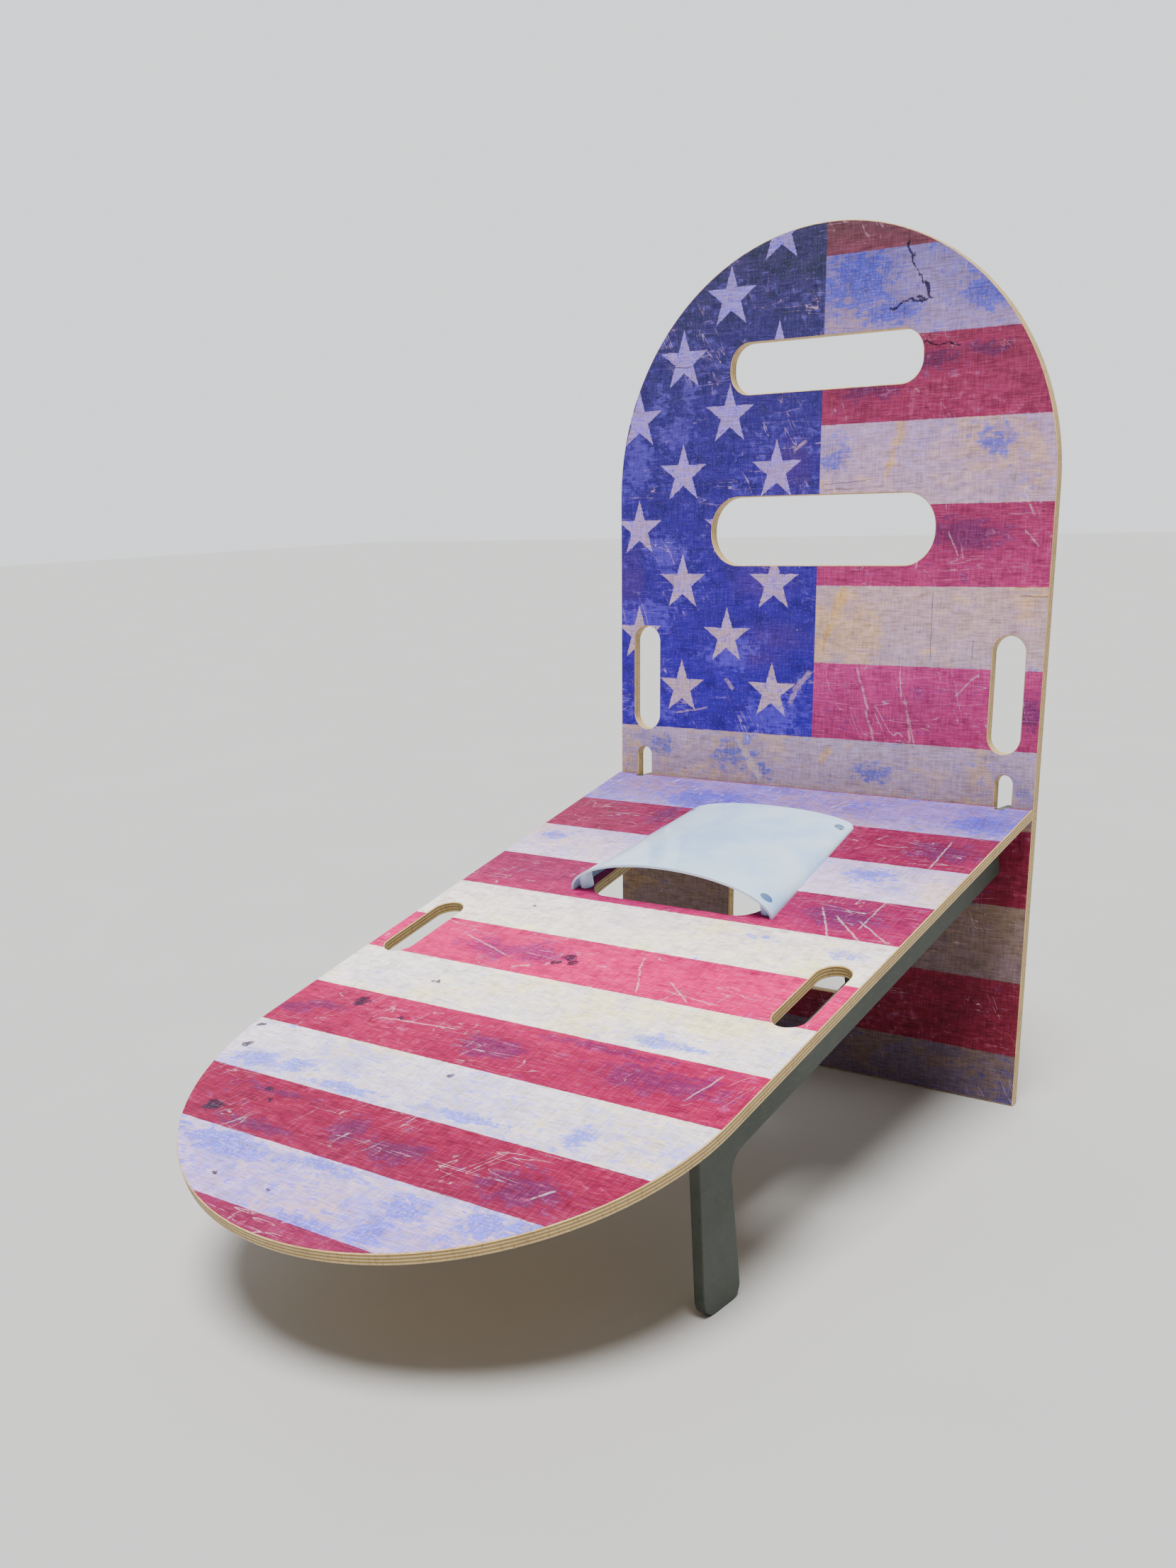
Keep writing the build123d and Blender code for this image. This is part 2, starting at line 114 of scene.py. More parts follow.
class Graph:
    """The node tree of one material."""

    def __init__(self, name):
        self.material = bpy.data.materials.new(name)
        self.material.use_nodes = True
        self.tree = self.material.node_tree
        self.tree.nodes.clear()
        self.shader = self.tree.nodes.new("ShaderNodeBsdfPrincipled")
        output = self.tree.nodes.new("ShaderNodeOutputMaterial")
        self.tree.links.new(self.shader.outputs[0], output.inputs["Surface"])
        self.point = self.node("TexCoord").outputs["Object"]

    def node(self, kind, **settings):
        made = self.tree.nodes.new("ShaderNode" + kind)
        for key, value in settings.items():
            setattr(made, key, value)
        return made

    def put(self, socket, value):
        if isinstance(value, Num):
            value = value.socket
        if isinstance(value, bpy.types.NodeSocket):
            self.tree.links.new(value, socket)
        else:
            socket.default_value = value

    def math(self, operation, *values):
        made = self.node("Math", operation=operation)
        for socket, value in zip(made.inputs, values):
            self.put(socket, value)
        return Num(self, made.outputs[0])

    def dot(self, vector):
        made = self.node("VectorMath", operation="DOT_PRODUCT")
        self.put(made.inputs[0], self.point)
        made.inputs[1].default_value = vector
        return Num(self, made.outputs["Value"])

    def xyz(self):
        """The shaded point's three coordinates."""
        return [self.dot(axis) for axis in ((1, 0, 0), (0, 1, 0), (0, 0, 1))]

    def along(self, origin, direction):
        """How far the shaded point lies from origin along direction."""
        return self.dot(direction) - origin.dot(direction)

    def vector(self, x, y, z=0.0):
        made = self.node("CombineXYZ")
        for socket, value in zip(made.inputs, (x, y, z)):
            self.put(socket, value)
        return made.outputs[0]

    def noise(self, vector, scale, detail=4.0, rough=0.55, warp=0.0):
        made = self.node("TexNoise")
        self.put(made.inputs["Vector"], vector)
        for key, value in zip(("Scale", "Detail", "Roughness", "Distortion"),
                              (scale, detail, rough, warp)):
            self.put(made.inputs[key], value)
        return Num(self, made.outputs[0])

    def cells(self, vector, scale):
        """Distance to the nearest of scattered points."""
        made = self.node("TexVoronoi", feature="F1")
        self.put(made.inputs["Vector"], vector)
        self.put(made.inputs["Scale"], scale)
        return Num(self, made.outputs["Distance"])

    def step(self, value, start, end):
        """0 up to start, 1 from end, smooth between; end may be the lower."""
        made = self.node("MapRange", interpolation_type="SMOOTHSTEP")
        for key, item in (("Value", value), ("From Min", start), ("From Max", end)):
            self.put(made.inputs[key], item)
        return Num(self, made.outputs[0])

    def mix(self, share, first, second, blend="MIX"):
        made = self.node("Mix", data_type="RGBA", blend_type=blend)
        self.put(made.inputs[0], share)
        for socket, value in ((made.inputs[6], first), (made.inputs[7], second)):
            self.put(socket, rgb(value) if isinstance(value, str) else value)
        return made.outputs[2]

    def ramp(self, value, stops):
        """Colour along value, from stops of (place, colour)."""
        made = self.node("ValToRGB")
        marks = made.color_ramp.elements
        while len(marks) < len(stops):
            marks.new(0.5)
        for mark, (place, code) in zip(marks, sorted(stops)):
            mark.position = place
            mark.color = rgb(code)
        self.put(made.inputs[0], value)
        return made.outputs[0]

    def bump(self, height, distance, strength):
        made = self.node("Bump")
        self.put(made.inputs["Strength"], strength)
        self.put(made.inputs["Distance"], distance)
        self.put(made.inputs["Height"], height)
        self.put(self.shader.inputs["Normal"], made.outputs[0])

    def finish(self, color, roughness, specular=0.5, metallic=0.0):
        for key, value in (("Base Color", color), ("Roughness", roughness),
                           ("Specular IOR Level", specular), ("Metallic", metallic)):
            self.put(self.shader.inputs[key], value)


# ---------------------------------------------------------------- printed flag
def star_field(g, u, v, first_column, low):
    """1 inside the stars of every other column, which is STAR_R from centre to point."""
    dx = g.math("WRAP", u - first_column, STAR_STEP, -STAR_STEP)
    dy = g.math("WRAP", v - low, STAR_RISE / 2, -STAR_RISE / 2)
    tenth = pi / 5
    turn = g.math("ABSOLUTE", g.math("WRAP", g.math("ARCTAN2", dx, dy), tenth, -tenth))
    far = g.math("SQRT", dx * dx + dy * dy)
    inner = STAR_R * STAR_WAIST
    across = inner * sin(tenth)
    down = STAR_R - inner * cos(tenth)
    edge = far * g.math("COSINE", turn) * across + far * g.math("SINE", turn) * down
    outside = (edge - STAR_R * across) / hypot(across, down)
    return g.step(outside, EDGE, -EDGE)


def stripes(g, count):
    """1 on the odd stripes, with the soft edge of a print."""
    half = g.math("FRACT", count / 2)
    return g.step(g.math("ABSOLUTE", half - 0.75), 0.25 + STRIPE_EDGE, 0.25 - STRIPE_EDGE)


def stripe_rag(g, u, v):
    """Noise that makes the borders of the stripes a little uneven."""
    return (g.noise(g.vector(u, v), 120, 2) - 0.5) * STRIPE_RAG


def line(g, u, v, start, end, width):
    """1 on a stroke from start to end, which fades out at both ends."""
    length = hypot(end[0] - start[0], end[1] - start[1])
    ux, uy = (end[0] - start[0]) / length, (end[1] - start[1]) / length
    du, dv = u - (start[0] + end[0]) / 2, v - (start[1] + end[1]) / 2
    along = g.math("ABSOLUTE", du * ux + dv * uy)
    off = g.math("ABSOLUTE", dv * ux - du * uy)
    return g.step(off, width, width * 0.3) * g.step(along, length * 0.52, length * 0.38)


def strokes(g, u, v, table):
    """1 on any stroke of a table: (start, end, half width)."""
    total = None
    for start, end, width in table:
        mask = line(g, u, v, start, end, width)
        total = mask if total is None else g.math("MAXIMUM", total, mask)
    return total


def spots(g, u, v, table):
    """1 in soft round patches: (centre, half width, half height)."""
    total = None
    for (cu, cv), ru, rv in table:
        du, dv = (u - cu) / ru, (v - cv) / rv
        mask = g.step(g.math("SQRT", du * du + dv * dv), 1.25, 0.0)
        total = mask if total is None else g.math("MAXIMUM", total, mask)
    return total


class Wear:
    """Noise fields of the aged print, in the flag's own plane."""

    def __init__(self, g, u, v, seed):
        self.g = g
        shake = g.noise(g.vector(u, v, seed), 60, 4, 0.65) - 0.5
        sway = g.noise(g.vector(u, v, seed + 3), 60, 4, 0.65) - 0.5
        self.u = u + shake * MARK_SHAKE
        self.v = v + sway * MARK_SHAKE
        self.straight_u = u + shake * SCRATCH_SHAKE
        self.straight_v = v + sway * SCRATCH_SHAKE
        self.cloud = self.field(u, v, seed, 6.5, 3)
        self.patch = self.field(u, v * 1.5, seed + 7, 11, 4)
        self.smear = self.field(u * 0.45, v, seed + 5, 60, 5)
        self.dabs = self.field(u * 0.6, v, seed + 9, 130, 5)
        self.dots = self.field(u, v, seed + 13, 330, 3)
        self.grain = self.field(u * 0.07, v, seed, 620, 3)
        self.weft = self.field(u, v * 0.07, seed + 2, 520, 3)
        # Fine scratches are contour lines of stretched noise, in two directions.
        slant = g.noise(g.vector((u + v * 0.5) * 1.2, (v - u * 0.5) * 0.16, seed), 24, 2, 0.5)
        level = g.noise(g.vector(u * 0.14, v * 1.4, seed + 4), 30, 2, 0.5)
        hairs = g.math("MAXIMUM", g.step(g.math("ABSOLUTE", slant - 0.5), 0.004, 0.001),
                       g.step(g.math("ABSOLUTE", level - 0.52), 0.004, 0.001))
        self.scratch = hairs * g.step(self.patch, 0.35, 0.8) * g.step(self.dabs, 0.2, 0.6)

    def field(self, u, v, seed, scale, detail):
        """Noise spread over about 0 to 1."""
        return (self.g.noise(self.g.vector(u, v, seed), scale, detail, 0.62, 0.3) - 0.5) * 2.6 + 0.5

    def flecks(self, field, amount):
        """1 on a share of the surface that grows with amount."""
        return self.g.step(field + amount, 0.86, 1.12)


def band(g, place, table, change=None):
    """Colour along the board from rows of (place, colour), each colour changed alike."""
    return g.ramp(place, [(row[0], change(row[1]) if change else row[1]) for row in table])


def filtered_band(g, place, table, strengths):
    return band(g, place, table, lambda code: filtered(code, strengths))


def blended_band(g, place, table, other, share):
    return band(g, place, table, lambda code: blended(code, other, share))


def white_paint(g, wear, place, table, tone_filter, blue_spots):
    """White paint with a second tone, warm stains, and blue rubbed through it."""
    main = band(g, place, table)
    second = filtered_band(g, place, table, tone_filter)
    blue = filtered_band(g, place, table, BLUE_FILTER)
    warm = filtered_band(g, place, table, WARM_FILTER)
    amount = Num(g, g.ramp(place, [(row[0], row[2]) for row in table]))
    color = g.mix(g.step(wear.cloud * 0.5 + wear.smear * 0.5, 0.25, 0.75), main, second)
    color = g.mix(wear.flecks(wear.smear * 0.4 + wear.cloud * 0.6, 0.38) * 0.85, color, warm)
    faint = g.mix(0.5, color, blue)
    veil = wear.dabs * 0.5 + wear.patch * 0.5
    color = g.mix(wear.flecks(veil, amount * 0.9 + blue_spots * 0.3), color, faint)
    rubbed = wear.dabs * 0.5 + wear.smear * 0.3 + wear.patch * 0.2
    color = g.mix(wear.flecks(rubbed, amount * 0.6 + blue_spots * 0.42) * 0.9, color, blue)
    color = g.mix(wear.flecks(wear.dots, amount * 0.4 + 0.1) * 0.6, color, main)
    return g.mix(wear.flecks(wear.dots * 0.6 + wear.dabs * 0.4, amount * 0.5) * 0.5, color, blue)


def red_paint(g, wear, place, table, dark_spots):
    """Red paint with dark smears, and pink where it is rubbed or sprayed."""
    main = band(g, place, table)
    second = filtered_band(g, place, table, RICH_FILTER)
    light = blended_band(g, place, table, RUBBED_PINK, 0.37)
    dark = blended_band(g, place, table, SOOT, 0.55)
    color = g.mix(g.step(wear.cloud * 0.4 + wear.smear * 0.6, 0.3, 0.7), main, second)
    murk = wear.smear * 0.35 + wear.dabs * 0.45 + wear.patch * 0.2
    color = g.mix(wear.flecks(murk, dark_spots * 0.4 + 0.28) * 0.8, color, dark)
    color = g.mix(wear.flecks(wear.dabs * 0.7 + wear.cloud * 0.3, 0.22) * 0.5, color, light)
    spray = wear.flecks(wear.dots * 0.7 + wear.patch * 0.3, 0.08 + dark_spots * 0.14)
    return g.mix(spray * 0.6, color, light)


def finish_print(g, wear, color, dark_marks, light_marks, pale, gloss):
    """Scratches, marks and the weave of the canvas, over the flag's colours."""
    color = g.mix(wear.scratch * 0.5, color, pale)
    color = g.mix(light_marks * 0.4, color, pale)
    color = g.mix(dark_marks * 0.9, color, "#1a1730")
    threads = wear.grain * 0.6 + wear.weft * 0.4 - 0.5
    shade = threads * 0.8 + (wear.dabs - 0.5) * 0.4 + (wear.smear - 0.5) * 0.3 + 0.96
    color = g.mix(1.0, color, g.vector(shade, shade, shade), "MULTIPLY")
    color = g.mix(g.math("MAXIMUM", threads, 0.0) * 0.12, color, pale)
    g.bump(threads + wear.scratch * -0.6 + dark_marks * -0.8, 0.0003, 0.3)
    g.finish(color, gloss + (wear.dabs - 0.5) * 0.12, 0.12)
    return g.material


# Places of the print's marks, on a 5 mm grid: across and along the board, in metres.
BACK_CRACKS = [
    ((0.105, 1.020), (0.115, 1.000), 0.0028), ((0.110, 1.005), (0.120, 0.990), 0.002),
    ((0.120, 0.990), (0.130, 0.970), 0.0018), ((0.130, 0.975), (0.140, 0.955), 0.0030),
    ((0.085, 0.950), (0.105, 0.955), 0.0022), ((0.100, 0.955), (0.140, 0.955), 0.0022),
    ((0.120, 0.960), (0.135, 0.955), 0.0022), ((0.130, 0.910), (0.180, 0.905), 0.0016)]
BACK_HAIRS = [
    ((0.160, 0.630), (0.160, 0.545), 0.0009), ((0.215, 0.575), (0.215, 0.550), 0.0009),
    ((0.270, 0.625), (0.305, 0.625), 0.0010), ((-0.220, 0.905), (-0.190, 0.905), 0.0010),
    ((0.005, 0.755), (0.070, 0.760), 0.0010), ((0.005, 0.750), (0.050, 0.750), 0.0008)]
BACK_SCRATCHES = [
    ((0.060, 0.540), (0.080, 0.480), 0.0022), ((0.075, 0.485), (0.090, 0.445), 0.0026),
    ((0.120, 0.545), (0.125, 0.500), 0.0013), ((0.130, 0.500), (0.140, 0.445), 0.0022),
    ((0.135, 0.480), (0.145, 0.445), 0.0013), ((0.225, 0.535), (0.195, 0.505), 0.0015),
    ((-0.005, 0.530), (-0.030, 0.500), 0.0050), ((-0.025, 0.505), (-0.035, 0.485), 0.0050),
    ((-0.135, 0.515), (-0.120, 0.500), 0.0035), ((-0.215, 0.465), (-0.160, 0.475), 0.0018),
    ((-0.040, 0.795), (-0.020, 0.810), 0.0030), ((0.140, 0.675), (0.135, 0.655), 0.0016),
    ((0.175, 0.700), (0.190, 0.670), 0.0014), ((0.270, 0.700), (0.290, 0.680), 0.0016)]
BACK_YELLOW = [
    ((0.110, 0.825), (0.100, 0.795), 0.010), ((0.100, 0.795), (0.090, 0.760), 0.006),
    ((0.040, 0.635), (0.025, 0.595), 0.009), ((0.025, 0.595), (0.005, 0.550), 0.007),
    ((0.110, 0.655), (0.105, 0.690), 0.005), ((0.030, 0.430), (0.010, 0.415), 0.008)]
BACK_CREAM_CRACK = [
    ((-0.115, 0.440), (-0.095, 0.410), 0.006), ((-0.095, 0.410), (-0.075, 0.385), 0.008)]
BACK_BLUE = [
    ((0.050, 0.985), 0.075, 0.050), ((0.090, 0.945), 0.050, 0.020), ((0.215, 0.960), 0.060, 0.025),
    ((0.225, 0.800), 0.040, 0.028), ((-0.110, 0.415), 0.055, 0.032), ((-0.075, 0.395), 0.030, 0.022),
    ((-0.235, 0.420), 0.030, 0.020), ((0.085, 0.405), 0.050, 0.018), ((0.020, 0.780), 0.040, 0.025)]
BACK_MURK = [
    ((0.060, 0.865), 0.060, 0.020), ((0.150, 0.890), 0.050, 0.018), ((0.195, 0.695), 0.090, 0.028),
    ((0.210, 0.895), 0.040, 0.014), ((0.290, 0.490), 0.030, 0.030)]
CANTON_GLOW = [
    ((-0.240, 0.870), 0.022, 0.030), ((-0.195, 0.870), 0.018, 0.026), ((-0.215, 0.825), 0.040, 0.030),
    ((-0.275, 0.800), 0.030, 0.050), ((-0.230, 0.680), 0.040, 0.030), ((-0.260, 0.590), 0.045, 0.030),
    ((-0.130, 0.545), 0.060, 0.030), ((-0.060, 0.470), 0.050, 0.030), ((-0.250, 0.465), 0.060, 0.020)]
CANTON_PURPLE = [
    ((-0.120, 0.700), 0.050, 0.035), ((-0.080, 0.640), 0.060, 0.030), ((-0.040, 0.780), 0.040, 0.040),
    ((-0.290, 0.640), 0.030, 0.050), ((-0.060, 0.570), 0.060, 0.024), ((-0.090, 0.545), 0.050, 0.020)]
PLAY_KNOTS = [
    ((-0.035, 0.490), 0.016, 0.010), ((-0.045, 0.505), 0.010, 0.006), ((-0.025, 0.500), 0.010, 0.008),
    ((-0.215, 0.870), 0.018, 0.014), ((-0.160, 0.840), 0.007, 0.003), ((-0.180, 0.825), 0.007, 0.005),
    ((-0.005, 0.735), 0.005, 0.004), ((-0.210, 0.650), 0.014, 0.012), ((-0.140, 0.665), 0.006, 0.005),
    ((-0.290, 0.730), 0.007, 0.006), ((-0.275, 0.765), 0.009, 0.007), ((-0.160, 0.395), 0.006, 0.003),
    ((-0.155, 0.585), 0.007, 0.004), ((-0.120, 0.955), 0.004, 0.003), ((-0.045, 0.955), 0.004, 0.002)]
PLAY_SCRATCHES = [
    ((0.050, 0.465), (0.060, 0.495), 0.0014), ((0.060, 0.490), (0.085, 0.535), 0.0016),
    ((0.180, 0.300), (0.225, 0.370), 0.0014), ((0.205, 0.315), (0.260, 0.365), 0.0017),
    ((0.235, 0.320), (0.290, 0.360), 0.0014), ((0.245, 0.340), (0.245, 0.270), 0.0012),
    ((0.250, 0.110), (0.255, 0.185), 0.0014), ((-0.200, 0.480), (-0.110, 0.510), 0.0014),
    ((0.105, 0.500), (0.150, 0.535), 0.0012), ((-0.160, 0.670), (-0.055, 0.660), 0.0013),
    ((0.110, 0.520), (0.190, 0.530), 0.0010), ((-0.070, 0.520), (-0.090, 0.530), 0.0028),
    ((0.260, 0.640), (0.245, 0.690), 0.0013), ((0.200, 0.870), (0.215, 0.850), 0.0020)]
PLAY_BLUE = [
    ((-0.160, 0.915), 0.120, 0.022), ((-0.020, 0.905), 0.060, 0.014), ((0.100, 0.925), 0.030, 0.022),
    ((0.095, 0.960), 0.024, 0.030), ((0.185, 0.915), 0.040, 0.026), ((0.235, 0.905), 0.040, 0.024),
    ((0.020, 0.980), 0.045, 0.012), ((-0.240, 0.785), 0.040, 0.018), ((-0.180, 0.780), 0.030, 0.018),
    ((-0.100, 0.795), 0.060, 0.012), ((0.185, 0.775), 0.020, 0.024), ((0.060, 0.790), 0.060, 0.010),
    ((0.195, 0.215), 0.045, 0.024), ((-0.270, 0.215), 0.035, 0.018), ((0.150, 0.385), 0.040, 0.014),
    ((0.260, 0.395), 0.040, 0.020), ((0.170, 0.610), 0.090, 0.016), ((-0.120, 0.070), 0.080, 0.040),
    ((0.260, 0.060), 0.050, 0.030)]
PLAY_MURK = [
    ((-0.150, 0.120), 0.025, 0.040), ((0.250, 0.140), 0.060, 0.035), ((-0.080, 0.495), 0.060, 0.030),
    ((-0.150, 0.500), 0.070, 0.030), ((0.000, 0.675), 0.060, 0.028), ((-0.285, 0.685), 0.040, 0.016),
    ((0.200, 0.670), 0.120, 0.035), ((-0.250, 0.670), 0.050, 0.012), ((-0.160, 0.825), 0.090, 0.012),
    ((-0.140, 0.880), 0.090, 0.014), ((0.190, 0.860), 0.070, 0.035), ((0.030, 0.860), 0.060, 0.030),
    ((0.210, 0.320), 0.070, 0.035), ((-0.040, 0.850), 0.030, 0.035), ((0.130, 0.640), 0.160, 0.010)]

# Paint colours up the back board, darkened with painted shade under the playing board: (place as a
# share of LONGEST, colour), and in the whites how much blue is rubbed through.
# Painted shade: the whites at 0.05 and 0.25 and the reds at 0.10 and 0.30 lie under the playing board
# and are darker than the paint.
BACK_WHITES_WITH_PAINTED_SHADE = [(0.05, "#706070", 0.4), (0.25, "#907868", 0.26), (0.42, "#c0a8bc", 0.36),
               (0.60, "#d8b4b0", 0.22), (0.80, "#c8a8d0", 0.34), (0.97, "#8478b8", 0.52)]
BACK_REDS_WITH_PAINTED_SHADE = [(0.10, "#782438"), (0.30, "#80243c"), (0.50, "#bc4080"),
             (0.70, "#a03864"), (0.87, "#903858"), (0.985, "#704854")]
CANTON = [(0.50, "#3c20b0"), (0.75, "#403098"), (0.96, "#44406c")]
STARS = [(0.50, "#d0b0bc"), (0.75, "#b89ce0"), (0.96, "#a090e0")]

# Paint colours down the playing board.
PLAY_WHITES = [(0.05, "#8468b0", 0.52), (0.22, "#cab6dc", 0.38), (0.40, "#fff0e8", 0.2),
               (0.55, "#f8ecf0", 0.26), (0.72, "#e4d8ec", 0.44), (0.90, "#c4a8e0", 0.52)]
PLAY_REDS = [(0.0, "#6c2448"), (0.13, "#7c1440"), (0.30, "#8c1850"), (0.465, "#d40868"),
             (0.63, "#9c0848"), (0.80, "#840c3c"), (0.95, "#84204c")]

# Other tones made from those colours: a filter's red, green and blue, or a paint mixed in.
LILAC_FILTER = (0.92, 0.92, 1.08)
CHALK_FILTER = (1.03, 1.04, 1.01)
BLUE_FILTER = (0.52, 0.60, 1.05)
WARM_FILTER = (1.06, 1.02, 0.78)
DEEP_FILTER = (0.63, 0.75, 0.65)
DULL_FILTER = (0.95, 1.05, 0.92)
STAR_FILTER = (0.86, 0.86, 1.10)
RICH_FILTER = (1.06, 1.0, 1.04)
RUBBED_PINK = "#f0a0d0"
SOOT = "#302858"
BRIGHT_BLUE = "#8878ff"


def back_print():
    g = Graph("weathered_flag_and_painted_shade_on_back_board")
    u, v = g.dot((1, 0, 0)), g.along(BACK_FOOT, BACK_UP)
    wear = Wear(g, u, v, 1.7)
    place = v / LONGEST
    count = (BACK_STRIPE_TOP - v) / BACK_STRIPE + stripe_rag(g, u, v)
    blue = spots(g, wear.u, wear.v, BACK_BLUE)
    # The back board's whites and reds get darker towards the foot: painted shade under the playing
    # board.
    white = white_paint(g, wear, place, BACK_WHITES_WITH_PAINTED_SHADE, LILAC_FILTER, blue)
    white = g.mix(strokes(g, wear.u, wear.v, BACK_YELLOW) * 0.6, white, "#e0b060")
    white = g.mix(strokes(g, wear.u, wear.v, BACK_CREAM_CRACK) * 0.5, white, "#e6cfb4")
    red = red_paint(g, wear, place, BACK_REDS_WITH_PAINTED_SHADE, spots(g, wear.u, wear.v, BACK_MURK))
    flag = g.mix(stripes(g, count), white, red)
    main = band(g, place, CANTON)
    second = filtered_band(g, place, CANTON, DULL_FILTER)
    bright = blended_band(g, place, CANTON, BRIGHT_BLUE, 0.45)
    dark = filtered_band(g, place, CANTON, DEEP_FILTER)
    deep = g.mix(g.step(wear.cloud * 0.5 + wear.smear * 0.5, 0.3, 0.7), main, second)
    murk = wear.smear * 0.5 + wear.dabs * 0.3 + wear.grain * 0.2
    deep = g.mix(wear.flecks(murk, 0.42) * 0.85, deep, dark)
    deep = g.mix(spots(g, wear.u, wear.v, CANTON_PURPLE) * 0.5, deep, "#5c3a8c")
    glow = spots(g, wear.u, wear.v, CANTON_GLOW)
    rubbed = wear.dabs * 0.6 + wear.patch * 0.4
    deep = g.mix(wear.flecks(rubbed, glow * 0.4 + 0.3) * 0.65, deep, bright)
    deep = g.mix(wear.flecks(wear.dots, glow * 0.15 + 0.2) * 0.5, deep, bright)
    in_columns = g.step(u, STAR_COLUMNS_RIGHT + STAR_CUT_EDGE, STAR_COLUMNS_RIGHT - STAR_CUT_EDGE)
    in_rows = g.step(v, STAR_ROWS_LOW - STAR_CUT_EDGE, STAR_ROWS_LOW + STAR_CUT_EDGE)
    ragged_u = u + (wear.dots - 0.5) * STAR_RAG
    ragged_v = v + (wear.dabs - 0.5) * STAR_RAG
    even = star_field(g, ragged_u, ragged_v, STAR_LEFT, STAR_LOW[0])
    odd = star_field(g, ragged_u, ragged_v, STAR_LEFT + STAR_STEP, STAR_LOW[1])
    stars = g.math("MAXIMUM", even, odd) * in_columns * in_rows
    pale = band(g, place, STARS)
    shaded = filtered_band(g, place, STARS, STAR_FILTER)
    star_paint = g.mix(g.step(wear.dabs * 0.6 + wear.smear * 0.4, 0.35, 0.75), pale, shaded)
    star_paint = g.mix(wear.flecks(wear.dots * 0.5 + wear.dabs * 0.5, 0.3) * 0.6, star_paint, main)
    canton = g.mix(stars, deep, star_paint)
    above_foot = g.step(count, CANTON_STRIPES + CANTON_EDGE, CANTON_STRIPES - CANTON_EDGE)
    in_canton = g.step(u, CANTON_SIDE_EDGE, -CANTON_SIDE_EDGE) * above_foot
    flag = g.mix(in_canton, flag, canton)
    cracks = g.math("MAXIMUM", strokes(g, wear.u, wear.v, BACK_CRACKS),
                    strokes(g, wear.straight_u, wear.straight_v, BACK_HAIRS) * 0.6)
    scratches = strokes(g, wear.straight_u, wear.straight_v, BACK_SCRATCHES)
    scratches = scratches * g.step(wear.dabs, 0.0, 0.5)
    return finish_print(g, wear, flag, cracks, scratches, "#e8bcd0", 0.55)


def play_print():
    g = Graph("weathered_flag_on_playing_board")
    u, v = g.dot((1, 0, 0)), g.along(JUNCTION, PLAY_FRONT)
    wear = Wear(g, u, v, 5.1)
    place = v / LONGEST
    count = (v - PLAY_STRIPE_TOP) / PLAY_STRIPE + stripe_rag(g, u, v)
    blue = spots(g, wear.u, wear.v, PLAY_BLUE)
    white = white_paint(g, wear, place, PLAY_WHITES, CHALK_FILTER, blue)
    red = red_paint(g, wear, place, PLAY_REDS, spots(g, wear.u, wear.v, PLAY_MURK))
    # The first stripe is white, and counts from -1; a red sliver borders the rear edge.
    flag = g.mix(stripes(g, count + 1.0), white, red)
    flag = g.mix(g.step(v, REAR_SLIVER + EDGE, REAR_SLIVER - EDGE), flag, "#7c2c50")
    knots = g.step(spots(g, wear.u, wear.v, PLAY_KNOTS), 0.25, 0.6) * g.step(wear.dots, 0.0, 0.4)
    scratches = strokes(g, wear.straight_u, wear.straight_v, PLAY_SCRATCHES)
    scratches = scratches * g.step(wear.dabs, 0.0, 0.5)
    return finish_print(g, wear, flag, knots, scratches, "#f6d4e4", 0.55)


# ---------------------------------------------------------------- plywood, paint, metal
PLIES = 7


def plywood(name, origin, along, out):
    """Bare plywood: veneer grain on the faces, plies along the edges."""
    g = Graph(name)
    u, v, w = g.dot((1, 0, 0)), g.along(origin, along), g.along(origin, out)
    depth = w * -1.0 / BOARD_T
    ply = g.math("FRACT", depth * (PLIES / 2) + (g.noise(g.vector(u, v, w), 22, 2) - 0.5) * 0.14)
    dark_ply = g.step(g.math("ABSOLUTE", ply - 0.5), 0.27, 0.22)
    fibre = g.noise(g.vector(u * 0.05, v, w * 8), 520, 4, 0.65)
    cross = g.noise(g.vector(u, v, w * 0.2), 420, 4, 0.7)
    edge = g.mix(dark_ply, "#dcc491", "#a8864f")
    edge = g.mix(g.step(cross, 0.5, 0.72) * 0.6, edge, "#7c5f38")
    glue = g.step(g.math("ABSOLUTE", g.math("ABSOLUTE", ply - 0.5) - 0.25), 0.03, 0.012)
    edge = g.mix(glue * 0.45, edge, "#5f4526")
    rings = g.noise(g.vector(u * 2.6, v * 0.35, w), 9, 3, 0.5, 1.2)
    year = g.math("FRACT", rings * 9)
    face = g.mix(g.step(year, 0.1, 0.9), "#dcc08a", "#c9a66c")
    face = g.mix(g.step(fibre, 0.45, 0.7) * 0.5, face, "#a98450")
    knot = g.cells(g.vector(u, v * 0.6, 2.0), 5.5)
    face = g.mix(g.step(knot, 0.09, 0.03) * 0.8, face, "#6e4a26")
    on_face = g.math("MAXIMUM", g.step(depth, 0.06, 0.03), g.step(depth, 0.94, 0.97))
    color = g.mix(on_face, edge, face)
    soiled = g.noise(g.vector(u, v, w), 14, 4, 0.6)
    color = g.mix(g.step(soiled, 0.52, 0.75) * 0.35, color, "#7d6a4a")
    g.bump(fibre + cross * 0.6 - dark_ply * 0.5, 0.0004, 0.5)
    g.finish(color, 0.62 + (cross - 0.5) * 0.3, 0.35)
    return g.material


